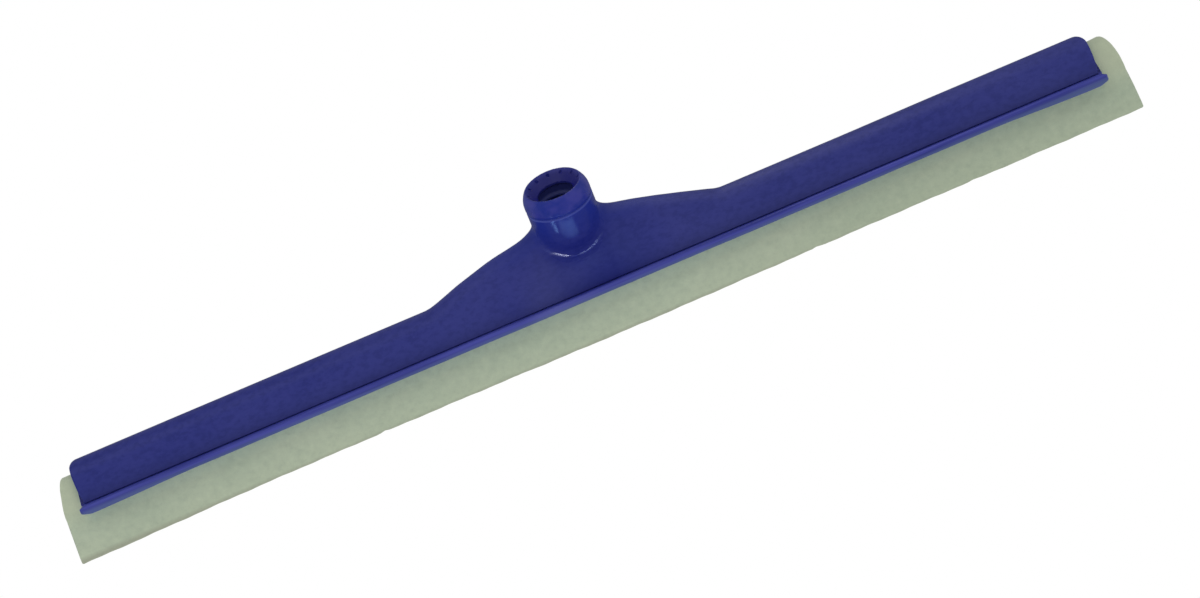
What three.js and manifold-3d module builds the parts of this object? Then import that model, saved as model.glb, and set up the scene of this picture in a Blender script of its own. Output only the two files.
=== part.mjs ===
// Floor squeegee head: handle frame, slide-in blade holder, folded rubber blade and its core strip.
// Millimetres, +Z up, X along the blade, -Y towards the side the handle leans to, blade tips at Z 0.
import * as THREE from 'three';
import { mergeVertices } from 'three/addons/utils/BufferGeometryUtils.js';
import Module from 'manifold-3d';

const wasm = await Module();
wasm.setup();

// ---- Driving dimensions -------------------------------------------------------------------------
const BLADE_LENGTH = 600;
const BLADE_OFFSET = 1.1; // the blade sits a little off centre in its holder
const FRAME_LENGTH = 569.4;
const HOLDER_LENGTH = 568.4;
const FLANGE_LENGTH = 574.4;
const CENTRE_Y = 5; // the blade's mid plane, so that the whole object is centred on Y 0

// Cross-sections as half profiles [y, z] from the bottom up, closed by a round dome { z, r }.
const FRAME_OUTER = { half: [[11.5, 26.9]], dome: { z: 38.8, r: 9.6 } };
const FRAME_INNER = { half: [[8.1, 20], [8.1, 28.1], [8.9, 28.7]], dome: { z: 38.2, r: 7.3 } };
const HOLDER_OUTER = { half: [[7.8, 21], [7.8, 28.4], [8.6, 29.0]], dome: { z: 38.2, r: 7.0 } };
const HOLDER_INNER = {
  half: [[7.4, 20], [7.3, 22.4], [6.75, 28.6], [6.05, 29.6], [6.5, 30.6]],
  dome: { z: 38.2, r: 5.5 },
};
const BLADE_OUTER = {
  half: [[8.6, 0], [7.0, 22.4], [6.4, 28.4], [5.65, 29.6], [6.15, 30.8]],
  dome: { z: 38.2, r: 5.2 },
};
const BLADE_INNER = { half: [[4.0, -1], [2.5, 22.4]], dome: { z: 38.2, r: 0.8 } };
const CORE = { half: [[2.0, 24]], dome: { z: 38.2, r: 0.5 } };
const DOME_STEPS = 14;

// Down-turned lip of the blade holder, one side: [y, z].
const LIP = [
  [7.0, 26.6], [14.9, 26.2], [15.4, 25.8], [15.5, 25.2], [15.5, 20.6],
  [13.9, 20.6], [13.7, 24.8], [9.2, 25.0], [9.0, 20.6], [7.0, 20.6],
];
const LIP_BOTTOM = 22.4;
const LIP_TOE_BOTTOM = 21.3; // the lip is a little deeper just before its ends
const LIP_TOE_START = 262;
const LIP_TOE_END = 282;
const LIP_END_BOTTOM = 23.1;
const LIP_CORNER = 3;

// Ridge line of the frame, [x, height]: level beam, then the shoulder, which is a little wider on -X.
const RIDGE = [
  [-286, 48.4], [-84, 48.4], [-78, 50.2], [-71.5, 52.3], [-65.5, 54.3], [-59, 56], [-53, 57.6],
  [-47, 59.2], [-40.5, 60.5], [-34, 61.5], [-28, 62.6], [-25, 63.4], [-22, 64.6], [-19.6, 66.1],
  [-17.5, 66.8], [-12, 66.8], [12, 66.8], [17.5, 66.8], [19.6, 65.8], [22, 64.4], [26, 63.1],
  [29.5, 62.4], [35.5, 61], [41.7, 59.3], [48, 57.7], [54, 55.9], [60.5, 54.1], [66.5, 52.3],
  [73, 50.4], [79, 48.4], [286, 48.4],
];
const WALL_LEAN = 0.1435; // how much the dome narrows per millimetre of extra height
const SWELL = 4.2; // extra half thickness where the shoulder meets the neck
const SWELL_REACH = 38;
const END_ROUND_X = 3.6;
const END_ROUND_Z = 6.2;

// Neck: tilted round socket. Profiles are [radius, distance along the axis from the rim].
const NECK_TILT = THREE.MathUtils.degToRad(25);
const RIM_Y = -13;
const RIM_Z = 84.4;
const NECK = [
  [0, -39], [7, -38.5], [11.5, -36.4], [14.6, -33.6], [16.4, -30.8], [17.2, -27.5], [17.2, -11], [17.5, -10.4],
  [17.5, -4], [17.3, -2.4], [16.5, -1], [15.6, -0.2], [15.1, 0], [0, 0],
];
// The neck and the frame are one moulding. They are two nodes, with a thin gap, so that collision follows
// the socket. The seat is the neck's outside, 0.3 mm larger.
const NECK_SEAT = [
  [0, -39.3], [7.1, -38.8], [11.7, -36.65], [14.85, -33.8], [16.7, -30.95], [17.5, -27.6], [17.5, 20], [0, 20],
];
const SOCKET = [
  [0, -36], [7, -36], [10.8, -34], [10.8, -7.2], [9.5, -6], [9.5, -4.8], [14, 0], [14, 3], [0, 3],
];
const NOTCHES = 12;
const NOTCH_RADIUS = 0.8;
const NOTCH_CIRCLE = 13;
const THREAD_RADIUS = 1.35;
const THREAD_CIRCLE = 10.8;
const THREAD_PITCH = 5;
const THREAD_TOP = -8.6;
const THREAD_TURNS = 4.3;

const MATERIALS = {
  frame: { color: 0x2d3572, roughness: 0.42, metalness: 0 },
  holder: { color: 0x383f8c, roughness: 0.45, metalness: 0 },
  rubber: { color: 0x9aa893, roughness: 0.92, metalness: 0 },
  core: { color: 0x8b8e92, roughness: 0.6, metalness: 0 },
};

// ---- Helpers ------------------------------------------------------------------------------------
function solid(geometry) {
  geometry.deleteAttribute('normal');
  geometry.deleteAttribute('uv');
  const merged = mergeVertices(geometry, 1e-4);
  const mesh = new wasm.Mesh({
    numProp: 3,
    vertProperties: merged.attributes.position.array,
    triVerts: merged.index.array,
  });
  return new wasm.Manifold(mesh);
}

function shapeOf(points) {
  return new THREE.Shape(points.map(([a, b]) => new THREE.Vector2(a, b)));
}

// Full closed outline of a half profile: up the +Y side, over the dome, down the -Y side.
function outline({ half, dome }) {
  const [y, z] = half[half.length - 1];
  const start = Math.acos(dome.r / Math.hypot(y, dome.z - z)) - Math.atan2(dome.z - z, y);
  const arc = [];
  for (let i = 0; i <= DOME_STEPS; i += 1) {
    const angle = start + ((Math.PI - 2 * start) * i) / DOME_STEPS;
    arc.push([dome.r * Math.cos(angle), dome.z + dome.r * Math.sin(angle)]);
  }
  const mirrored = half.map(([a, b]) => [-a, b]).reverse();
  return [...half, ...arc, ...mirrored];
}

// Extrudes a (y, z) outline along X, centred on X 0.
function alongX(points, length) {
  const geometry = new THREE.ExtrudeGeometry(shapeOf(points), { depth: length, bevelEnabled: false });
  const axes = new THREE.Matrix4().set(0, 0, 1, -length / 2, 1, 0, 0, 0, 0, 1, 0, 0, 0, 0, 0, 1);
  return geometry.applyMatrix4(axes);
}

// Extrudes an (x, z) outline along Y, centred on Y 0.
function acrossY(points, depth) {
  const geometry = new THREE.ExtrudeGeometry(shapeOf(points), { depth, bevelEnabled: false });
  const axes = new THREE.Matrix4().set(1, 0, 0, 0, 0, 0, -1, depth / 2, 0, 1, 0, 0, 0, 0, 0, 1);
  return geometry.applyMatrix4(axes);
}

// Extrudes an (x, y) outline along Z from the given height.
function upZ(points, bottom, height) {
  const geometry = new THREE.ExtrudeGeometry(shapeOf(points), { depth: height, bevelEnabled: false });
  return geometry.translate(0, 0, bottom);
}

function box(x, y, z, cx, cy, cz) {
  return new THREE.BoxGeometry(x, y, z).translate(cx, cy, cz);
}

function mirroredX(points) {
  const left = points.map(([x, z]) => [-x, z]).reverse();
  return [...points, ...left];
}

function toNeck(geometry) {
  return geometry.rotateX(Math.PI / 2 + NECK_TILT).translate(0, RIM_Y, RIM_Z);
}

function lathe(points, segments) {
  const profile = points.map(([r, l]) => new THREE.Vector2(r, l));
  return toNeck(new THREE.LatheGeometry(profile, segments));
}

function finished(name, body, material) {
  const moved = body.translate([0, CENTRE_Y, 0]);
  const { vertProperties, triVerts } = moved.getMesh();
  const geometry = new THREE.BufferGeometry();
  geometry.setAttribute('position', new THREE.BufferAttribute(new Float32Array(vertProperties), 3));
  geometry.setIndex(new THREE.BufferAttribute(new Uint32Array(triVerts), 1));
  geometry.computeVertexNormals();
  const mesh = new THREE.Mesh(geometry, new THREE.MeshStandardMaterial(MATERIALS[material]));
  mesh.name = name;
  return mesh;
}

// ---- Frame --------------------------------------------------------------------------------------
function ridgeStations() {
  const middle = { x: 0, top: RIDGE.find(([x]) => x > 0)[1] };
  return [...RIDGE.map(([x, top]) => ({ x, top })), middle];
}

function domeAt({ x, top }) {
  const lean = FRAME_OUTER.dome.r - WALL_LEAN * (top - FRAME_OUTER.dome.z - FRAME_OUTER.dome.r);
  const near = Math.max(0, 1 - Math.abs(x) / SWELL_REACH);
  const r = lean + SWELL * near * near * (3 - 2 * near);
  return { z: top - r, r };
}

// The beam's outside, lofted along the stations by reshaping the dome of each section.
function bodyOutside() {
  const stations = ridgeStations().sort((a, b) => a.x - b.x);
  const steps = stations.length - 1;
  const options = { depth: 1, steps, bevelEnabled: false };
  const geometry = new THREE.ExtrudeGeometry(shapeOf(outline(FRAME_OUTER)), options);
  const base = FRAME_OUTER.dome;
  const position = geometry.attributes.position;
  for (let i = 0; i < position.count; i += 1) {
    const station = stations[Math.round(position.getZ(i) * steps)];
    const dome = domeAt(station);
    let y = position.getX(i);
    let z = position.getY(i);
    if (z > FRAME_OUTER.half[0][1] + 1e-3) {
      y *= dome.r / base.r;
      z = dome.z + (z - base.z) * (dome.r / base.r);
    }
    position.setXYZ(i, station.x, y, z);
  }
  return geometry;
}

function endRounding() {
  const x = FRAME_LENGTH / 2;
  const top = 90;
  const points = [[x, 0], [x, FRAME_OUTER.dome.z + FRAME_OUTER.dome.r - END_ROUND_Z]];
  for (let i = 1; i <= 6; i += 1) {
    const angle = (Math.PI / 2) * (i / 6);
    const dx = END_ROUND_X * (1 - Math.cos(angle));
    const dz = END_ROUND_Z * Math.sin(angle);
    points.push([x - dx, points[1][1] + dz]);
  }
  const last = points[points.length - 1];
  points.push([last[0] - 0.5, last[1] + 0.4]);
  points.push([100, top]);
  return acrossY(mirroredX(points), 80);
}

class Helix extends THREE.Curve {
  getPoint(t) {
    const angle = 2 * Math.PI * THREAD_TURNS * t;
    const y = THREAD_TOP - THREAD_PITCH * THREAD_TURNS * t;
    return new THREE.Vector3(THREAD_CIRCLE * Math.cos(angle), y, THREAD_CIRCLE * Math.sin(angle));
  }
}

function threadRidge() {
  const shape = new THREE.Shape();
  shape.absarc(0, 0, THREAD_RADIUS, 0, 2 * Math.PI);
  const options = { steps: 130, extrudePath: new Helix(), curveSegments: 5, bevelEnabled: false };
  return toNeck(new THREE.ExtrudeGeometry(shape, options));
}

function notch(index) {
  const angle = (2 * Math.PI * index) / NOTCHES;
  const x = NOTCH_CIRCLE * Math.cos(angle);
  const z = NOTCH_CIRCLE * Math.sin(angle);
  return toNeck(new THREE.CylinderGeometry(NOTCH_RADIUS, NOTCH_RADIUS, 5, 10).translate(x, -1, z));
}

function buildFrame() {
  let body = solid(bodyOutside()).intersect(solid(endRounding()));
  body = body.subtract(solid(alongX(outline(FRAME_INNER), FRAME_LENGTH + 20)));
  return body.subtract(solid(lathe(NECK_SEAT, 64)));
}

function buildNeck() {
  let body = solid(lathe(NECK, 64)).subtract(solid(lathe(SOCKET, 64)));
  for (let i = 0; i < NOTCHES; i += 1) {
    body = body.subtract(solid(notch(i)));
  }
  body = body.add(solid(threadRidge()));
  return body;
}

// ---- Blade holder -------------------------------------------------------------------------------
function lipSide(side) {
  const points = LIP.map(([y, z]) => [side * y, z]);
  return alongX(side > 0 ? points.reverse() : points, FLANGE_LENGTH);
}

function lipLimits() {
  const x = FLANGE_LENGTH / 2;
  const edge = [
    [LIP_TOE_START, LIP_BOTTOM], [LIP_TOE_END, LIP_TOE_BOTTOM], [x, LIP_END_BOTTOM], [x, 60],
  ];
  return acrossY(mirroredX(edge), 80);
}

function lipCorners() {
  const x = FLANGE_LENGTH / 2;
  const y = 15.5;
  const c = LIP_CORNER;
  const corners = [
    [x, -y + c], [x, y - c], [x - c, y], [-x + c, y], [-x, y - c], [-x, -y + c], [-x + c, -y], [x - c, -y],
  ];
  return upZ(corners, 0, 60);
}

function buildHolder() {
  let body = solid(alongX(outline(HOLDER_OUTER), HOLDER_LENGTH));
  body = body.add(solid(lipSide(1)));
  body = body.add(solid(lipSide(-1)));
  body = body.subtract(solid(alongX(outline(HOLDER_INNER), FLANGE_LENGTH + 20)));
  body = body.intersect(solid(lipLimits()));
  body = body.intersect(solid(lipCorners()));
  return body;
}

// ---- Blade and core -----------------------------------------------------------------------------
// End outline of the folded sheet: the fold draws the upper corners in. [inset, height]
const BLADE_END = [[0, -1], [0, 2], [1.3, 24], [2.3, 35], [4.4, 40], [7.2, 43.6]];

function buildBlade() {
  const x = BLADE_LENGTH / 2;
  const ends = mirroredX(BLADE_END.map(([inset, z]) => [x - inset, z]));
  let body = solid(alongX(outline(BLADE_OUTER), BLADE_LENGTH + 10));
  body = body.subtract(solid(alongX(outline(BLADE_INNER), BLADE_LENGTH + 20)));
  body = body.intersect(solid(acrossY(ends, 60)));
  return body.translate([BLADE_OFFSET, 0, 0]);
}

function buildCore() {
  return solid(alongX(outline(CORE), HOLDER_LENGTH)).translate([BLADE_OFFSET, 0, 0]);
}

// ---- Assembly -----------------------------------------------------------------------------------
const assembly = new THREE.Group();
assembly.name = 'floor_squeegee_head';
assembly.add(finished('handle_frame', buildFrame(), 'frame'));
assembly.add(finished('handle_neck', buildNeck(), 'frame'));
assembly.add(finished('blade_holder', buildHolder(), 'holder'));
assembly.add(finished('rubber_blade', buildBlade(), 'rubber'));
assembly.add(finished('core_strip', buildCore(), 'core'));

export default assembly;
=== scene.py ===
"""Floor squeegee head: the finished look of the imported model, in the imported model's own frame."""
import math

import bpy
import numpy as np
from mathutils import Matrix, Vector

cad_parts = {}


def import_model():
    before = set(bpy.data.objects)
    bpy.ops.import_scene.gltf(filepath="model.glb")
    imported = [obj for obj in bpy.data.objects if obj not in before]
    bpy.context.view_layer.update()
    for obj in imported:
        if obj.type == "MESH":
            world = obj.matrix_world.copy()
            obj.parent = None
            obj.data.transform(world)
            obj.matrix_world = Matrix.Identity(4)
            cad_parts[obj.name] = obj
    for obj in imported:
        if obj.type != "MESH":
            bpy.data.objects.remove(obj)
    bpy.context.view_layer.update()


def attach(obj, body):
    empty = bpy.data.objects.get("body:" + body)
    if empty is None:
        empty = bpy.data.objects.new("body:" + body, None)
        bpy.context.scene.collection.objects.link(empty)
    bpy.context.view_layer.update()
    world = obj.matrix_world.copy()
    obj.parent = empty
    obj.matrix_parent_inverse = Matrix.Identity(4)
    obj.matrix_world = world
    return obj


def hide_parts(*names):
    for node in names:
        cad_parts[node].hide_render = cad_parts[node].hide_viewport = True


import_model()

MM = 0.001
CENTRE_Y = 5.0  # the blade's mid plane in the row frame; every length below is in millimetres from it

# ---- Driving dimensions, as in the CAD model ------------------------------------------------------
FRAME_HALF_LENGTH = 284.7
HOLDER_HALF_LENGTH = 284.2
FLANGE_HALF_LENGTH = 286.7
BLADE_HALF_LENGTH = 300.0
BLADE_OFFSET = 1.1
FOOT = (11.5, 26.8)
DOME_RADIUS = 9.6
RIDGE = [(-300, 48.5), (-230, 48.6), (-84, 48.5), (-78, 50.2), (-71.5, 52.3), (-65.5, 54.3), (-59, 56), (-53, 57.6),
         (-47, 59.2), (-40.5, 60.5), (-34, 61.5), (-28, 62.6), (-25, 63.4), (-22, 64.6), (-19.6, 66.1),
         (-17.5, 66.8), (-12, 66.8), (12, 66.8), (17.5, 66.4), (19.6, 65.1), (22, 63.7), (26, 62.6),
         (29.5, 61.9), (35.5, 60.6), (41.7, 59), (48, 57.4), (54, 55.65), (60.5, 53.85), (66.5, 52.05),
         (73, 50.15), (79, 48.15), (150, 48.15), (200, 48.4), (300, 48.4)]
WALL_LEAN = 0.1435
SWELL = 4.2
SWELL_REACH = 38.0
END_ROUND_LEFT = (2.1, 2.9)
END_ROUND_RIGHT = (3.1, 4.1)
NECK_TILT = math.radians(25)
NECK_BLEND = 4.0  # how softly the neck runs into the shoulder
RIM = np.array([0.0, -13.0, 84.4])
NECK = [(0, -37.4), (6, -37), (10.7, -35), (13.7, -32.4), (15.7, -29.6), (16.9, -26.6), (17.5, -23.6), (17.8, -18),
        (17.8, -10.5), (17.25, -9.8), (17.85, -8.4), (17.7, -5.6), (17.25, -3.8), (16.5, -2.1), (15.7, -0.7),
        (15.1, 0), (14.6, 0.2), (0, 0.2)]
SOCKET = [(0, -36), (7, -36), (10.8, -34), (10.8, -7.2), (9.5, -6), (9.5, -4.8), (14.4, -0.3), (14.8, 0.4),
          (15, 3), (0, 3)]
NOTCHES = 12
NOTCH_RADIUS = 0.7
NOTCH_CIRCLE = 13.3
NOTCH_BOTTOM = -2.1
THREAD_RADIUS = 1.35
THREAD_CIRCLE = 10.8
THREAD_PITCH = 5.0
THREAD_TOP = -8.6
THREAD_TURNS = 4.3
CHANNEL = [(8.1, 20), (8.1, 28.1), (8.9, 28.7)]
CHANNEL_DOME = (38.2, 7.3)
HOLDER_OUTER = [(7.8, 26.65), (7.8, 26.8), (7.8, 28.4), (8.6, 29.0)]
HOLDER_OUTER_DOME = (38.2, 7.0)
HOLDER_INNER = [(7.3, 22.4), (6.93, 26.6), (6.92, 26.8), (6.75, 28.6), (6.05, 29.6), (6.5, 30.6)]
HOLDER_INNER_DOME = (38.2, 5.5)
LIP = [(14.9, 26.6), (15.4, 26.1), (15.5, 25.2), (15.5, 22.4), (13.9, 22.4), (13.7, 24.8), (9.2, 25.0),
       (9.0, 22.4)]
LIP_BOTTOM = 22.4
TOE_BOTTOM = 21.3
TOE = (225.0, 276.0)
LIP_END_BOTTOM = 22.8
LIP_CORNER = 1.4
LIP_END_DROP = 1.0
LIP_RIGHT_DROOP = 0.5
BLADE_OUTER = [(8.6, 0), (7.0, 22.4), (6.4, 28.4), (5.65, 29.6), (6.15, 30.8)]
BLADE_OUTER_DOME = (38.2, 5.2)
BLADE_INNER = [(3.94, 0), (2.5, 22.4)]
BLADE_INNER_DOME = (38.2, 0.8)
BLADE_END_LEFT = [(-5, 0), (3, 0), (7, 0.4), (11, 0.9), (15, 1.2), (19, 1.55), (23.5, 1.75), (27.5, 2.2), (31.5, 3.1),
                  (34.5, 3.9), (38.5, 4.9), (41.4, 5.8), (42.7, 6.2), (43.6, 6.3), (46, 6.3)]
BLADE_END_RIGHT = [(-5, 0), (3, 0), (15, 0.7), (19, 1.3), (23.5, 1.55), (27.5, 1.75), (31.5, 2.15), (36, 3.25),
                   (40, 4.8), (42.4, 6.1), (43.6, 7.2), (46, 7.4)]
CORE = [(2.0, 24)]
CORE_DOME = (38.2, 0.5)
# How far the blade's free tips stand above or below their level, [x, z]; its far ends lift or droop too.
TIP_LINE = [(-300, -2.35), (-272, -1.95), (-240, -1.25), (-205, -0.65), (-170, -0.35), (-120, -0.1),
            (-80, -0.2), (-40, -0.45), (0, -0.7), (35, -0.65), (70, -0.25), (110, 0.05), (150, 0.3),
            (190, 0.55), (240, 0.5), (270, 0.6), (300, 0.85)]
BLADE_END_LIFT = [(-300, -1.2), (-287.5, -1.1), (-284.5, 0.0), (284.5, 0.0), (287.5, -0.5), (300, 0.3)]


# ---- Outlines in the y-z plane --------------------------------------------------------------------
def dome_arc(side, dome, steps):
    """Points of the dome's right half, from where the last side point's tangent meets it to the crown."""
    centre, radius = dome
    dy, dz = side[0], side[1] - centre
    start = math.atan2(dz, dy) + math.acos(min(1.0, radius / math.hypot(dy, dz)))
    angles = np.linspace(start, math.pi / 2, steps)
    return [(radius * math.cos(a), centre + radius * math.sin(a)) for a in angles]


def arch(half, dome, steps=14):
    """An arch from the right foot over the crown to the left foot."""
    right = list(half) + dome_arc(half[-1], dome, steps)
    left = [(-y, z) for y, z in reversed(right[:-1])]
    return right + left


def rounded(points, radius, steps=3, closed=True):
    """The polygon with each corner replaced by a small arc-like curve, where its sides leave room."""
    out, n = [], len(points)
    for i in range(n):
        b = np.array(points[i], float)
        if not closed and i in (0, n - 1):
            out.append(tuple(b))
            continue
        a, c = np.array(points[i - 1], float), np.array(points[(i + 1) % n], float)
        la, lc = np.linalg.norm(a - b), np.linalg.norm(c - b)
        u, v = (a - b) / la, (c - b) / lc
        turn = math.pi - math.acos(float(np.clip(u @ v, -1, 1)))
        if turn < math.radians(12):
            out.append(tuple(b))
            continue
        cut = min(radius * math.tan(turn / 2), 0.42 * la, 0.42 * lc)
        p, q = b + u * cut, b + v * cut
        for t in np.linspace(0, 1, steps + 1):
            out.append(tuple((1 - t) ** 2 * p + 2 * t * (1 - t) * b + t ** 2 * q))
    return out


def outward(points):
    """Unit normals at the vertices of a closed outline that runs anticlockwise."""
    p = np.array(points, float)
    ahead, behind = np.roll(p, -1, 0) - p, p - np.roll(p, 1, 0)
    ahead /= np.linalg.norm(ahead, axis=1)[:, None]
    behind /= np.linalg.norm(behind, axis=1)[:, None]
    tangent = ahead + behind
    normal = np.stack([tangent[:, 1], -tangent[:, 0]], 1)
    return normal / np.maximum(np.linalg.norm(normal, axis=1)[:, None], 1e-6)


def anticlockwise(points):
    p = np.array(points, float)
    area = np.sum(p[:, 0] * np.roll(p[:, 1], -1) - np.roll(p[:, 0], -1) * p[:, 1])
    return list(points) if area > 0 else list(reversed(points))


# ---- Meshes ---------------------------------------------------------------------------------------
def to_object(name, verts, faces, material, body, nodes, angle=32):
    mesh = bpy.data.meshes.new(name)
    moved = (np.asarray(verts, float) + [0, CENTRE_Y, 0]) * MM
    mesh.from_pydata(moved.tolist(), [], faces)
    mesh.validate()
    mesh.shade_smooth()
    if angle:
        mesh.set_sharp_from_angle(angle=math.radians(angle))
    mesh.materials.append(material)
    obj = bpy.data.objects.new(name, mesh)
    bpy.context.scene.collection.objects.link(obj)
    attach(obj, body)
    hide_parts(*nodes)
    return obj


def loft(stations, sections):
    """Closed outlines joined along X and capped at both ends; sections[i] is (n, 3)."""
    n = len(sections[0])
    verts = np.concatenate(sections)
    faces = []
    for i in range(len(stations) - 1):
        for j in range(n):
            k = (j + 1) % n
            faces.append((i * n + j, (i + 1) * n + j, (i + 1) * n + k, i * n + k)[::-1])
    last = (len(stations) - 1) * n
    faces.append(tuple(range(n))[::-1])
    faces.append(tuple(last + j for j in range(n)))
    return verts, faces


def station_list(half, fine, coarse, reach):
    """Stations from -half to +half, fine within reach of each end and coarse between."""
    inner = np.linspace(-(half - reach), half - reach, int(2 * (half - reach) / coarse) + 1)
    outer = np.linspace(half - reach, half, int(reach / fine) + 1)[1:]
    return np.concatenate([-outer[::-1], inner, outer])


def smoothstep(a, b, x):
    t = np.clip((np.asarray(x, float) - a) / (b - a), 0, 1)
    return t * t * (3 - 2 * t)


# ---- The handle frame: one moulded shell, as the zero surface of a distance field -----------------
def smooth_min(a, b, k):
    h = np.maximum(k - np.abs(a - b), 0) / k
    return np.minimum(a, b) - h * h * k / 4


def smooth_max(a, b, k):
    return -smooth_min(-a, -b, k)


def polygon_distance(points, y, z):
    """Signed distance to a closed polygon, negative inside."""
    p = np.array(points, float)
    best = np.full(y.shape, 1e12)
    inside = np.zeros(y.shape, bool)
    for (ay, az), (by, bz) in zip(p, np.roll(p, -1, 0)):
        ey, ez = by - ay, bz - az
        t = np.clip(((y - ay) * ey + (z - az) * ez) / (ey * ey + ez * ez), 0, 1)
        best = np.minimum(best, (y - ay - t * ey) ** 2 + (z - az - t * ez) ** 2)
        if az != bz:
            crosses = ((az > z) != (bz > z)) & (y < ay + (z - az) * ey / ez)
            inside ^= crosses
    return np.where(inside, -1, 1) * np.sqrt(best)


def smooth_ridge(spread=1.8, step=0.5):
    """The ridge line with its corners eased, as tables of x and height."""
    x = np.arange(-300, 300 + step, step)
    raw = np.interp(x, [p[0] for p in RIDGE], [p[1] for p in RIDGE])
    kernel = np.exp(-0.5 * (np.arange(-12, 13) * step / spread) ** 2)
    return x, np.convolve(np.pad(raw, 12, "edge"), kernel / kernel.sum(), "valid")


RIDGE_X, RIDGE_TOP = smooth_ridge()


def arch_distance(x, y, z):
    """The arch-shaped body: leaning walls that run tangent into a round crown."""
    top = np.interp(x, RIDGE_X, RIDGE_TOP)
    near = np.maximum(0, 1 - np.abs(x) / SWELL_REACH)
    r = DOME_RADIUS - WALL_LEAN * (top - 48.4) + SWELL * near * near * (3 - 2 * near)
    centre = top - r
    fy, fz = FOOT[0], FOOT[1] - centre
    a = np.arctan2(fz, fy) + np.arccos(np.minimum(1, r / np.hypot(fy, fz)))
    q, h = np.abs(y), z - centre
    along = -q * np.sin(a) + h * np.cos(a)
    wall = np.where(along > 0, np.hypot(q, h) - r, q * np.cos(a) + h * np.sin(a) - r)
    reach = np.where(x < 0, END_ROUND_LEFT[0], END_ROUND_RIGHT[0])
    drop = np.where(x < 0, END_ROUND_LEFT[1], END_ROUND_RIGHT[1])
    half = FRAME_HALF_LENGTH - 0.9 * smoothstep(36, FOOT[1], z)
    u = (np.abs(x) - (half - reach)) / reach
    w = np.maximum((z - (48.4 - drop)) / drop, 0)
    end = np.where(u > 0, np.hypot(u, w) - 1, w - 1 + 0.8 * u) * reach
    body = smooth_max(wall, FOOT[1] - z, 0.4)
    return smooth_max(body, end, 0.5)


def neck_coordinates(x, y, z):
    s, c = math.sin(NECK_TILT), math.cos(NECK_TILT)
    dy, dz = y - RIM[1], z - RIM[2]
    along = -dy * s + dz * c
    side = dy * c + dz * s
    return np.hypot(x, side), np.arctan2(side, x), along


def socket_distance(r, angle, along):
    bore = polygon_distance(SOCKET, r, along)
    step = 2 * math.pi / NOTCHES
    wrapped = (angle + step / 2) % step - step / 2
    notch = np.hypot(r * np.cos(wrapped) - NOTCH_CIRCLE, r * np.sin(wrapped)) - NOTCH_RADIUS
    notch = np.maximum(notch, np.maximum(along - 1.5, NOTCH_BOTTOM - along))
    return smooth_min(bore, notch, 0.4)


def thread_distance(r, angle, along):
    phase = along - THREAD_TOP - THREAD_PITCH * angle / (2 * math.pi)
    wrapped = (phase + THREAD_PITCH / 2) % THREAD_PITCH - THREAD_PITCH / 2
    middle = along - wrapped
    last = THREAD_TOP - THREAD_PITCH * THREAD_TURNS
    fade = smoothstep(THREAD_TOP + 1, THREAD_TOP - 2, middle) * smoothstep(last - 1, last + 2, middle)
    return np.hypot(r - THREAD_CIRCLE, wrapped) - THREAD_RADIUS + 3.0 * (1 - fade)


CHANNEL_OUTLINE = arch(CHANNEL, CHANNEL_DOME)


def frame_distance(x, y, z):
    body = arch_distance(x, y, z)
    r, angle, along = neck_coordinates(x, y, z)
    near = (np.abs(x) < 34) & (r < 34)
    solid = body.copy()
    if near.any():
        neck = polygon_distance(NECK, r[near], along[near])
        solid[near] = smooth_min(body[near], neck, NECK_BLEND)
    channel = polygon_distance(CHANNEL_OUTLINE, y, z)
    solid = smooth_max(solid, -channel, 0.5)
    if near.any():
        args = r[near], angle[near], along[near]
        cut = smooth_max(solid[near], -socket_distance(*args), 0.4)
        solid[near] = smooth_min(cut, thread_distance(*args), 0.6)
    return solid


def surface_nets(xs, ys, zs, field):
    """Quads round every grid edge that crosses zero; the field is negative inside."""
    axes = (xs, ys, zs)
    inside = field < 0
    cells = (len(xs) - 1, len(ys) - 1, len(zs) - 1)
    ids, points, rings = [], [], []
    for axis in range(3):
        lower = [slice(None)] * 3
        upper = [slice(None)] * 3
        lower[axis], upper[axis] = slice(0, -1), slice(1, None)
        index = np.argwhere(inside[tuple(lower)] != inside[tuple(upper)])
        other = index.copy()
        other[:, axis] += 1
        a, b = field[tuple(index.T)], field[tuple(other.T)]
        t = a / (a - b)
        place = np.stack([axes[k][index[:, k]] for k in range(3)], 1)
        place[:, axis] += t * (axes[axis][other[:, axis]] - place[:, axis])
        p, q = (axis + 1) % 3, (axis + 2) % 3
        ring = []
        for dp, dq in ((1, 1), (0, 1), (0, 0), (1, 0)):
            cell = index.copy()
            cell[:, p] -= dp
            cell[:, q] -= dq
            flat = np.ravel_multi_index(cell.T, cells)
            ring.append(flat)
            ids.append(flat)
            points.append(place)
        ring = np.stack(ring, 1)
        flip = a > 0
        ring[flip] = ring[flip][:, ::-1]
        rings.append(ring)
    ids, points, rings = np.concatenate(ids), np.concatenate(points), np.concatenate(rings)
    used, place = np.unique(ids, return_inverse=True)
    count = np.bincount(place)
    verts = np.stack([np.bincount(place, points[:, k]) / count for k in range(3)], 1)
    return verts, np.searchsorted(used, rings)


def gradient(verts, step=0.03):
    out = np.empty_like(verts)
    for k in range(3):
        shift = np.zeros(3)
        shift[k] = step
        out[:, k] = frame_distance(*(verts + shift).T) - frame_distance(*(verts - shift).T)
    return out / (2 * step)


def grid_line(*parts):
    """Increasing values from (start, stop, step) stretches that follow one another."""
    line = [np.linspace(a, b, max(2, int(round((b - a) / s)) + 1)) for a, b, s in parts]
    return np.unique(np.round(np.concatenate(line), 6))


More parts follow.
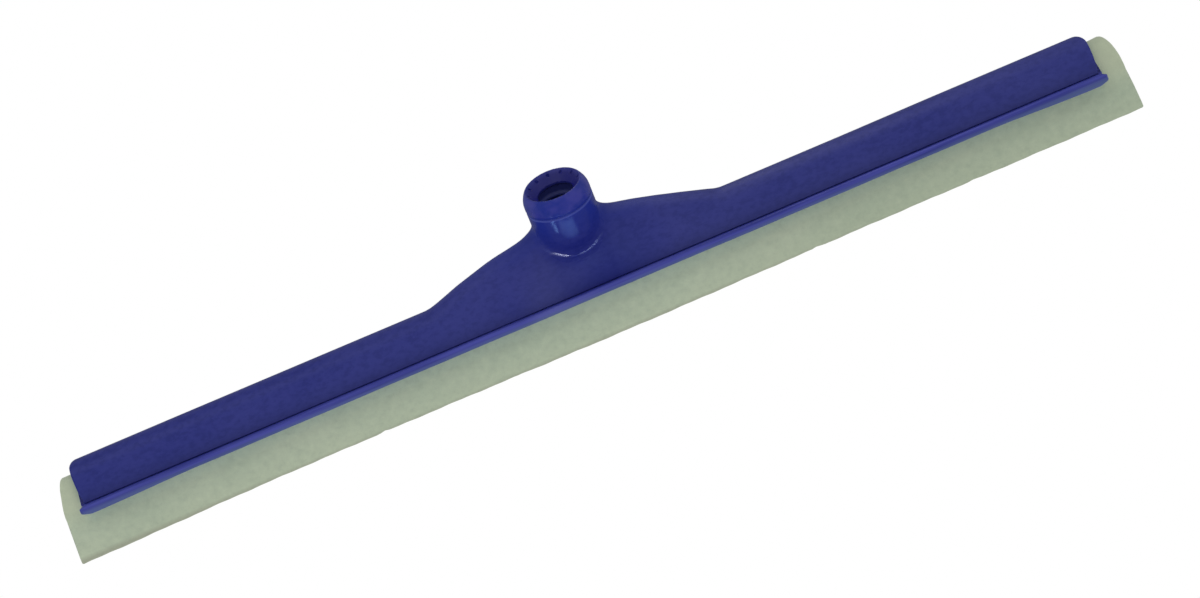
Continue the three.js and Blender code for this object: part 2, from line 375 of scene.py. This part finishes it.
def handle_frame(material):
    fine = 0.5
    half = grid_line((0, 24, fine), (24, 88, 2.0), (88, 272, 8.0), (272, 280, 1.0), (280, 286.5, 0.5))
    xs = np.concatenate([-half[:0:-1], half])
    ys = grid_line((-33, 19, fine))
    zs = grid_line((25, 94, fine))
    grid = np.stack(np.meshgrid(xs, ys, zs, indexing="ij"), -1).reshape(-1, 3) + 1e-4
    field = np.concatenate([frame_distance(*part.T) for part in np.array_split(grid, 40)])
    field = field.reshape(len(xs), len(ys), len(zs))
    verts, quads = surface_nets(xs + 1e-4, ys + 1e-4, zs + 1e-4, field)
    for _ in range(3):
        slope = gradient(verts)
        away = frame_distance(*verts.T) / np.maximum((slope ** 2).sum(1), 0.25)
        verts -= np.clip(away, -0.35, 0.35)[:, None] * slope
    normals = gradient(verts)
    normals /= np.maximum(np.linalg.norm(normals, axis=1)[:, None], 1e-9)
    obj = to_object("frame_shell", verts, quads.tolist(), material, "frame",
                    ("handle_frame", "handle_neck"), angle=0)
    obj.data.normals_split_custom_set_from_vertices(normals.tolist())
    return obj


# ---- The blade holder -----------------------------------------------------------------------------
def holder_outline():
    right = LIP[::-1]
    inner = arch(HOLDER_INNER, HOLDER_INNER_DOME, 10)
    outer = arch(HOLDER_OUTER, HOLDER_OUTER_DOME, 10)
    front_lip = [(-y, z) for y, z in LIP]
    outline = outer + front_lip + [(-y, z) for y, z in [(7.4, 22.4)]]
    outline += list(reversed(inner)) + [(7.4, 22.4)] + right
    return outline


def blade_holder(material):
    outline = anticlockwise(rounded(holder_outline(), 0.35, 3))
    flat, normal = np.array(outline), outward(outline)
    stations = station_list(FLANGE_HALF_LENGTH, 0.8, 6.0, 28)
    sections = []
    for x in stations:
        e = FLANGE_HALF_LENGTH - abs(x)
        p = flat - normal * 0.22 * max(0.0, 1 - e / 0.4)
        bottom = np.interp(abs(x), [TOE[0], TOE[1], FLANGE_HALF_LENGTH - 5.5, FLANGE_HALF_LENGTH],
                           [LIP_BOTTOM, TOE_BOTTOM, TOE_BOTTOM, LIP_END_BOTTOM])
        bottom += 0.05 * math.sin(x * 0.043) + 0.04 * math.sin(x * 0.11 + 2)
        bottom -= LIP_RIGHT_DROOP * smoothstep(TOE[0], TOE[1], x)
        skirt = (np.abs(p[:, 0]) > 8.6) & (p[:, 1] < 24.6)
        weight = np.clip((25.0 - p[:, 1]) / (25.0 - LIP_BOTTOM), 0, 1)
        z = p[:, 1] + np.where(skirt, weight * (bottom - LIP_BOTTOM), 0)
        corner = LIP_CORNER * max(0.0, 1 - e / LIP_CORNER)
        side = np.abs(p[:, 0])
        bare = smoothstep(283.8, 285.4, abs(x))
        upper = (side > 7.6) & (z < 26.7)
        z = z - np.where(upper, LIP_END_DROP * bare * np.clip((z - 24.2) / 1.6, 0, 1), 0)
        y = np.sign(p[:, 0]) * (side - 0.85 * corner * smoothstep(9.4, 13.9, side))
        limit = np.interp(z, [26.7, 26.8], [FLANGE_HALF_LENGTH, HOLDER_HALF_LENGTH])
        xx = np.sign(x) * np.minimum(abs(x), limit - 0.02 * max(0, 3 - e))
        sections.append(np.stack([xx, y, z], 1))
    verts, faces = loft(stations, sections)
    return to_object("holder_strip", verts, faces, material, "holder", ("blade_holder",))


# ---- The rubber blade and its core ----------------------------------------------------------------
def table(points, x):
    return float(np.interp(x, [p[0] for p in points], [p[1] for p in points]))


def settled(p, x):
    """The blade sits a little askew: its free tips aren't level, and its far ends follow them."""
    free = np.clip(1 - p[:, 2] / 24.0, 0, 1)
    tip = np.mean([table(TIP_LINE, x + d) for d in (-16, -8, 0, 8, 16)])
    p[:, 2] += tip * free + table(BLADE_END_LIFT, x) * (1 - free)
    return p


def rubber_blade(material):
    outer = arch(BLADE_OUTER, BLADE_OUTER_DOME, 14)
    inner = arch(BLADE_INNER, BLADE_INNER_DOME, 6)
    outline = anticlockwise(rounded(outer + inner[::-1], 0.5, 4))
    dense = []
    for a, b in zip(outline, outline[1:] + outline[:1]):
        n = max(1, int(math.dist(a, b) / 1.6))
        dense += [(a[0] + (b[0] - a[0]) * t / n, a[1] + (b[1] - a[1]) * t / n) for t in range(n)]
    flat, normal = np.array(dense), outward(dense)
    stations = station_list(BLADE_HALF_LENGTH, 0.8, 2.4, 16)
    sections = []
    for x in stations:
        e = BLADE_HALF_LENGTH - abs(x)
        p = flat - normal * 0.45 * max(0.0, 1 - e / 0.8) ** 2
        y, z = p[:, 0].copy(), p[:, 1]
        free = np.clip(1 - z / 22.0, 0, 1)
        front = y < 0
        wave = np.where(front, 0.30 * math.sin(x * 0.021 + 0.6) + 0.16 * math.sin(x * 0.057),
                        0.30 * math.sin(x * 0.019 + 2.2) + 0.16 * math.sin(x * 0.049 + 1))
        y += wave * free
        outside = (np.abs(y) > 4.2) & (z > 22.4) & (z < 39)
        swollen = 7.0 - 0.114 * (z - 22.4)
        bare = smoothstep(284.6, 287.4, abs(x))
        y = np.where(outside, np.sign(y) * (np.abs(y) * (1 - bare) + swollen * bare), y)
        nick = 0.0
        for place, depth, width in ((-130.7, 0.7, 1.2), (114.0, 0.8, 1.4), (-52.0, 0.25, 2.0), (203.0, 0.3, 1.6)):
            nick += depth * math.exp(-((x - place) / width) ** 2)
        low = np.clip(1 - z / 2.5, 0, 1)
        z = z + np.where(front, nick, 0) * low
        z = z + low * (0.10 * math.sin(x * 0.19) + 0.07 * math.sin(x * 0.53 + 1))
        outline_end = np.array(BLADE_END_LEFT if x < 0 else BLADE_END_RIGHT, float)
        shrink = np.interp(z, outline_end[:, 0], outline_end[:, 1])
        xx = x * (BLADE_HALF_LENGTH - shrink) / BLADE_HALF_LENGTH + BLADE_OFFSET
        sections.append(settled(np.stack([xx, y, z], 1), x))
    verts, faces = loft(stations, sections)
    obj = to_object("blade_rubber_strip", verts, faces, material, "blade", ("rubber_blade",),
                    angle=40)
    return obj


def core_strip(material):
    outline = anticlockwise(rounded(arch(CORE, CORE_DOME, 6), 0.4, 3))
    flat, normal = np.array(outline), outward(outline)
    stations = station_list(HOLDER_HALF_LENGTH, 0.5, 8.0, 3)
    sections = []
    for x in stations:
        p = flat - normal * 0.3 * max(0.0, 1 - (HOLDER_HALF_LENGTH - abs(x)) / 0.6)
        sections.append(np.stack([np.full(len(p), x + BLADE_OFFSET), p[:, 0], p[:, 1]], 1))
    verts, faces = loft(stations, sections)
    return to_object("core_wedge", verts, faces, material, "blade", ("core_strip",))


# ---- Materials ------------------------------------------------------------------------------------
class Nodes:
    """A short hand for building one material's node tree."""

    def __init__(self, name):
        self.material = bpy.data.materials.new(name)
        self.material.use_nodes = True
        self.tree = self.material.node_tree
        self.shader = self.tree.nodes["Principled BSDF"]
        self.place = self.add("ShaderNodeTexCoord").outputs["Object"]

    def add(self, kind, **values):
        node = self.tree.nodes.new(kind)
        for key, value in values.items():
            setattr(node, key, value)
        return node

    def link(self, a, b):
        self.tree.links.new(a, b)

    def stretched(self, scale):
        node = self.add("ShaderNodeMapping")
        node.inputs["Scale"].default_value = scale
        self.link(self.place, node.inputs["Vector"])
        return node.outputs["Vector"]

    def noise(self, scale, detail=3.0, rough=0.5, stretch=None):
        node = self.add("ShaderNodeTexNoise")
        node.inputs["Scale"].default_value = scale
        node.inputs["Detail"].default_value = detail
        node.inputs["Roughness"].default_value = rough
        self.link(self.stretched(stretch) if stretch else self.place, node.inputs["Vector"])
        return node.outputs["Fac"]

    def cells(self, scale):
        node = self.add("ShaderNodeTexVoronoi")
        node.inputs["Scale"].default_value = scale
        self.link(self.place, node.inputs["Vector"])
        return node.outputs["Distance"]

    def span(self, value, low, high, to_low=0.0, to_high=1.0):
        node = self.add("ShaderNodeMapRange")
        for key, number in zip(("From Min", "From Max", "To Min", "To Max"), (low, high, to_low, to_high)):
            node.inputs[key].default_value = number
        self.link(value, node.inputs["Value"])
        return node.outputs["Result"]

    def math(self, kind, a, b):
        node = self.add("ShaderNodeMath", operation=kind)
        for socket, value in zip(node.inputs, (a, b)):
            if isinstance(value, (int, float)):
                socket.default_value = value
            else:
                self.link(value, socket)
        return node.outputs[0]

    def mix(self, factor, a, b):
        node = self.add("ShaderNodeMix", data_type="RGBA")
        for key, value in (("A", a), ("B", b)):
            socket = [s for s in node.inputs if s.name == key and s.type == "RGBA"][0]
            if isinstance(value, tuple):
                socket.default_value = (*value, 1)
            else:
                self.link(value, socket)
        if isinstance(factor, (int, float)):
            node.inputs["Factor"].default_value = factor
        else:
            self.link(factor, node.inputs["Factor"])
        return [s for s in node.outputs if s.type == "RGBA"][0]

    def distance(self, place):
        node = self.add("ShaderNodeVectorMath", operation="DISTANCE")
        self.link(self.place, node.inputs[0])
        node.inputs[1].default_value = place
        return node.outputs["Value"]

    def along_neck(self):
        """Distance along the neck's axis from its rim, in metres, negative below it."""
        shift = self.add("ShaderNodeVectorMath", operation="SUBTRACT")
        self.link(self.place, shift.inputs[0])
        shift.inputs[1].default_value = (RIM + [0, CENTRE_Y, 0]) * MM
        dot = self.add("ShaderNodeVectorMath", operation="DOT_PRODUCT")
        self.link(shift.outputs["Vector"], dot.inputs[0])
        dot.inputs[1].default_value = (0, -math.sin(NECK_TILT), math.cos(NECK_TILT))
        return dot.outputs["Value"]

    def axis(self, name):
        node = self.add("ShaderNodeSeparateXYZ")
        self.link(self.place, node.inputs[0])
        return node.outputs[name]

    def bump(self, height, strength, distance):
        node = self.add("ShaderNodeBump")
        node.inputs["Strength"].default_value = strength
        node.inputs["Distance"].default_value = distance
        self.link(height, node.inputs["Height"])
        self.link(node.outputs["Normal"], self.shader.inputs["Normal"])


def moulded_plastic():
    """Dark blue polypropylene: satin along the beam, glossier on the neck, with faint flow marks and scuffs."""
    n = Nodes("frame_plastic_look")
    flow = n.noise(14, 2.0, 0.5, (1.0, 2.0, 2.4))
    colour = n.mix(n.span(flow, 0.35, 0.68), (0.016, 0.024, 0.222), (0.026, 0.034, 0.246))
    mottle = n.noise(330, 3.0, 0.62, (0.8, 1.0, 1.3))
    colour = n.mix(n.math("MULTIPLY", n.span(mottle, 0.40, 0.66), 0.36), colour, (0.036, 0.044, 0.285))
    colour = n.mix(n.math("MULTIPLY", n.span(mottle, 0.52, 0.34), 0.35), colour, (0.010, 0.016, 0.170))
    # Painted shade: the walls darken towards their foot, next to the holder's lip.
    foot = n.span(n.axis("Z"), 0.027, 0.036, 0.35, 0.0)
    colour = n.mix(foot, colour, (0.012, 0.020, 0.150))
    along = n.along_neck()
    neck = n.span(n.axis("Z"), 0.052, 0.066)
    colour = n.mix(n.math("MULTIPLY", neck, 0.70), colour, (0.012, 0.029, 0.290))
    # Painted highlight: lighter blotches on the collar's front stand in for reflections there.
    collar_highlight = n.math("MULTIPLY", n.span(along, -0.0095, -0.0078), n.span(n.noise(120, 2.0), 0.40, 0.62))
    colour = n.mix(n.math("MULTIPLY", collar_highlight, 0.90), colour, (0.046, 0.050, 0.320))
    # Painted highlight: a thin lighter ring on the ledge under the collar, where light catches the edge.
    line = n.math("MULTIPLY", n.span(along, -0.0112, -0.0108), n.span(along, -0.0099, -0.0103))
    colour = n.mix(n.math("MULTIPLY", line, 0.75), colour, (0.070, 0.095, 0.420))
    # Painted shade: the shoulder darkens round its centre, under the neck's overhang.
    shade = n.distance((0, -0.007, 0.036))
    colour = n.mix(n.span(shade, 0.014, 0.042, 0.50, 0.0), colour, (0.011, 0.016, 0.155))
    # Painted shade in the mouth: everything within about 13 mm of the rim's centre is darkened.
    from_rim = n.distance(tuple((RIM + [0, CENTRE_Y, 0]) * MM))
    colour = n.mix(n.span(from_rim, 0.0130, 0.0155, 0.90, 0.0), colour, (0.004, 0.004, 0.175))
    # Painted light in the bore: its shadowed wall below the ledge is lifted to a lighter, greyer blue.
    bore = n.math("SUBTRACT", n.math("POWER", from_rim, 2.0), n.math("POWER", along, 2.0))
    bore = n.math("MULTIPLY", n.span(bore, 1.40e-4, 1.25e-4), n.span(along, -0.0045, -0.0065))
    bore = n.math("MULTIPLY", bore, n.span(along, -0.026, -0.022))
    colour = n.mix(n.math("MULTIPLY", bore, 0.8), colour, (0.040, 0.050, 0.210))
    n.link(colour, n.shader.inputs["Base Color"])
    scuff = n.noise(60, 4.0, 0.65, (0.25, 3.0, 6.0))
    rough = n.math("ADD", n.span(flow, 0.3, 0.7, 0.40, 0.50), n.span(scuff, 0.52, 0.75, 0.0, 0.10))
    gloss = n.span(n.distance((0, -0.013, 0.062)), 0.017, 0.025, 1.0, 0.0)
    rough = n.math("SUBTRACT", rough, n.math("MULTIPLY", gloss, 0.28))
    n.link(rough, n.shader.inputs["Roughness"])
    mirror = n.math("MULTIPLY", n.span(shade, 0.014, 0.050, 0.10, 0.48), n.span(n.axis("X"), -0.1, 0.1, 0.84, 1.06))
    n.link(mirror, n.shader.inputs["Specular IOR Level"])
    n.shader.inputs["IOR"].default_value = 1.46
    height = n.math("ADD", n.math("MULTIPLY", mottle, 0.7), n.math("MULTIPLY", n.noise(900, 2.0, 0.6), 0.4))
    n.bump(height, 0.12, 0.00025)
    return n.material


def extruded_plastic():
    """The holder's brighter blue, with die lines along its length."""
    n = Nodes("holder_plastic_look")
    lines = n.noise(700, 2.0, 0.6, (0.02, 1.0, 1.0))
    patches = n.noise(30, 3.0, 0.6, (1.0, 3.0, 3.0))
    colour = n.mix(n.span(lines, 0.35, 0.65), (0.022, 0.030, 0.260), (0.056, 0.066, 0.400))
    colour = n.mix(n.math("MULTIPLY", n.span(patches, 0.45, 0.75), 0.35), colour, (0.062, 0.072, 0.40))
    colour = n.mix(n.span(n.axis("Z"), 0.0246, 0.0228, 0.0, 0.7), colour, (0.085, 0.130, 0.29))
    n.link(colour, n.shader.inputs["Base Color"])
    n.link(n.span(patches, 0.3, 0.7, 0.34, 0.48), n.shader.inputs["Roughness"])
    n.shader.inputs["IOR"].default_value = 1.46
    n.bump(lines, 0.20, 0.0002)
    return n.material


def cellular_rubber():
    """Pale grey-green moss rubber: matte, finely pored, a little darker where the lip shades it, with painted light
    lifting the band under the lip and lightening the tips, and painted shade on its right part.
    """
    n = Nodes("blade_rubber_look")
    cloud = n.noise(16, 4.0, 0.55, (1.0, 1.0, 1.6))
    colour = n.mix(n.span(cloud, 0.35, 0.68), (0.43, 0.525, 0.40), (0.50, 0.575, 0.44))
    # Painted light: the rubber lightens towards its tips, away from the lip's shade.
    low = n.span(n.axis("Z"), 0.021, 0.002, 0.0, 1.0)
    colour = n.mix(n.math("MULTIPLY", low, 0.6), colour, (0.53, 0.60, 0.43))
    far = n.math("ABSOLUTE", n.axis("X"), 0.0)
    # Painted light: lifts the lip's shade on the band just under it, fading out towards the blade's ends and higher
    # up.
    under_lip_light = n.math("MULTIPLY", n.span(n.axis("Z"), 0.0150, 0.0205, 0.0, 0.95), n.span(far, 0.2885, 0.2835))
    under_lip_light = n.math("MULTIPLY", under_lip_light, n.span(n.axis("Z"), 0.0300, 0.0225))
    colour = n.mix(under_lip_light, colour, (0.52, 0.64, 0.50))
    mottle = n.noise(260, 4.0, 0.62, (1.0, 1.0, 1.2))
    colour = n.mix(n.span(mottle, 0.50, 0.30, 0.0, 0.35), colour, (0.36, 0.43, 0.33))
    colour = n.mix(n.span(mottle, 0.52, 0.72, 0.0, 0.35), colour, (0.60, 0.68, 0.50))
    end = n.span(far, 0.2835, 0.2885, 0.0, 0.42)
    end = n.math("MULTIPLY", end, n.span(n.axis("Z"), 0.012, 0.026))
    colour = n.mix(end, colour, (0.68, 0.71, 0.48))
    # Painted shade: the blade's right part is darkened.
    shaded_side = n.span(n.axis("X"), 0.04, 0.14, 0.0, 0.16)
    colour = n.mix(shaded_side, colour, (0.22, 0.27, 0.17))
    edge = n.span(n.axis("Z"), 0.0016, -0.0008, 0.0, 0.5)
    colour = n.mix(edge, colour, (0.30, 0.29, 0.22))
    pores = n.cells(1900)
    colour = n.mix(n.span(pores, 0.05, 0.35, 0.22, 0.0), colour, (0.22, 0.26, 0.20))
    n.link(colour, n.shader.inputs["Base Color"])
    n.link(n.span(cloud, 0.3, 0.7, 0.82, 0.95), n.shader.inputs["Roughness"])
    n.shader.inputs["IOR"].default_value = 1.40
    n.shader.inputs["Specular IOR Level"].default_value = 0.35
    n.shader.inputs["Sheen Weight"].default_value = 0.15
    n.shader.inputs["Sheen Roughness"].default_value = 0.6
    skin = n.math("ADD", n.math("MULTIPLY", n.span(pores, 0.0, 0.4), 0.6), n.math("MULTIPLY", n.noise(420, 4.0), 0.8))
    n.bump(skin, 0.35, 0.0003)
    return n.material


def core_plastic():
    """The hidden core: plain grey extruded strip with fine die lines."""
    n = Nodes("core_plastic_look")
    lines = n.noise(600, 2.0, 0.5, (0.03, 1.0, 1.0))
    n.link(n.mix(n.span(lines, 0.3, 0.7), (0.22, 0.225, 0.23), (0.30, 0.305, 0.31)), n.shader.inputs["Base Color"])
    n.link(n.span(lines, 0.3, 0.7, 0.5, 0.65), n.shader.inputs["Roughness"])
    n.bump(lines, 0.15, 0.0002)
    return n.material


# ---- Stage, light and camera ----------------------------------------------------------------------
FLOOR_Z = -2.6
WHITE = (1, 1, 1)


def by_ray(tree, seen, diffuse, glossy):
    """One closure for camera rays, one for diffuse light and one for reflections."""
    path = tree.nodes.new("ShaderNodeLightPath")
    outer, inner = tree.nodes.new("ShaderNodeMixShader"), tree.nodes.new("ShaderNodeMixShader")
    tree.links.new(path.outputs["Is Glossy Ray"], inner.inputs[0])
    tree.links.new(diffuse.outputs[0], inner.inputs[1])
    tree.links.new(glossy.outputs[0], inner.inputs[2])
    tree.links.new(path.outputs["Is Camera Ray"], outer.inputs[0])
    tree.links.new(inner.outputs[0], outer.inputs[1])
    tree.links.new(seen.outputs[0], outer.inputs[2])
    return outer.outputs[0]


def glow(tree, kind, colour, strength):
    node = tree.nodes.new(kind)
    node.inputs["Color"].default_value = (*colour, 1)
    node.inputs["Strength"].default_value = strength
    return node


def floor(diffuse, glossy):
    material = bpy.data.materials.new("floor_look")
    material.use_nodes = True
    tree = material.node_tree
    tree.nodes.clear()
    out = tree.nodes.new("ShaderNodeOutputMaterial")
    parts = [glow(tree, "ShaderNodeEmission", WHITE, s) for s in (1.0, diffuse, glossy)]
    tree.links.new(by_ray(tree, *parts), out.inputs["Surface"])
    mesh = bpy.data.meshes.new("floor")
    r, z = 12.0, FLOOR_Z * MM
    mesh.from_pydata([(-r, -r, z), (r, -r, z), (r, r, z), (-r, r, z)], [], [(0, 1, 2, 3)])
    mesh.materials.append(material)
    obj = bpy.data.objects.new("floor", mesh)
    bpy.context.scene.collection.objects.link(obj)


def world(diffuse, glossy):
    scene = bpy.context.scene
    scene.world = bpy.data.worlds.new("studio")
    scene.world.use_nodes = True
    tree = scene.world.node_tree
    tree.nodes.clear()
    out = tree.nodes.new("ShaderNodeOutputWorld")
    seen = glow(tree, "ShaderNodeBackground", WHITE, 1.0)
    fill = glow(tree, "ShaderNodeBackground", (0.97, 0.985, 1), diffuse)
    gloss = glow(tree, "ShaderNodeBackground", (0.97, 0.985, 1), glossy)
    tree.links.new(by_ray(tree, seen, fill, gloss), out.inputs["Surface"])


def area_light(name, place, target, size, power, diffuse=True, colour=(1, 1, 1), spread=180):
    data = bpy.data.lights.new(name, "AREA")
    data.color = colour
    data.spread = math.radians(spread)
    data.shape = "RECTANGLE"
    data.size, data.size_y = size
    data.energy = power
    obj = bpy.data.objects.new(name, data)
    obj.location = place
    direction = Vector(target) - Vector(place)
    obj.rotation_mode = "QUATERNION"
    obj.rotation_quaternion = direction.to_track_quat("-Z", "Y")
    obj.visible_camera = False
    obj.visible_diffuse = diffuse
    bpy.context.scene.collection.objects.link(obj)
    return obj


AZIMUTH = math.radians(-1.3)
ELEVATION = math.radians(8.4)
ROLL = math.radians(22.82)
DISTANCE = 0.900
TARGET = Vector((0.0002, 0.00262 + CENTRE_Y * MM, 0.01817))
LENS = 51.56


def camera():
    data = bpy.data.cameras.new("camera")
    data.sensor_width = 36
    data.lens = LENS
    data.clip_start, data.clip_end = 0.01, 50
    obj = bpy.data.objects.new("camera", data)
    back = Vector((math.sin(AZIMUTH) * math.cos(ELEVATION), -math.cos(AZIMUTH) * math.cos(ELEVATION),
                   math.sin(ELEVATION)))
    level = Vector((math.cos(AZIMUTH), math.sin(AZIMUTH), 0))
    upright = back.cross(level)
    right = level * math.cos(ROLL) - upright * math.sin(ROLL)
    up = level * math.sin(ROLL) + upright * math.cos(ROLL)
    turn = Matrix((right, up, back)).transposed()
    obj.rotation_mode = "QUATERNION"
    obj.rotation_quaternion = turn.to_quaternion()
    obj.location = TARGET + back * DISTANCE
    bpy.context.scene.collection.objects.link(obj)
    bpy.context.scene.camera = obj


camera()
world(0.62, 0.30)
floor(0.85, 0.22)
area_light("key_softbox", (-0.5, -1.2, 1.5), (0, 0, 0.03), (1.6, 1.2), 3.0)
COOL = (0.31, 0.56, 1.0)
area_light("neck_card", (-0.0038, -0.0278, 0.0427), (-0.0038, -0.0162, 0.0614), (0.0272, 0.0112), 0.00078,
           diffuse=False, colour=COOL, spread=80)
area_light("neck_line_card", (-0.0288, -0.0278, 0.0427), (-0.0066, -0.0162, 0.0614), (0.0050, 0.0112), 0.00034,
           diffuse=False, colour=COOL, spread=80)
area_light("base_card_left", (-0.033, -0.060, 0.019), (-0.012, -0.008, 0.044), (0.030, 0.0045), 0.0044,
           diffuse=False, colour=(0.8, 0.82, 1.0), spread=44)
area_light("base_card_right", (0.016, -0.062, 0.026), (0.004, -0.008, 0.048), (0.046, 0.0085), 0.0019,
           diffuse=False, colour=(0.6, 0.75, 1.0), spread=40)
area_light("crown_strip", (0.18, 0.05, 0.60), (0.06, 0, 0.048), (1.0, 0.12), 0.6, diffuse=False)
bpy.context.scene.view_settings.view_transform = "Standard"

handle_frame(moulded_plastic())
blade_holder(extruded_plastic())
rubber_blade(cellular_rubber())
core_strip(core_plastic())

bpy.context.view_layer.update()
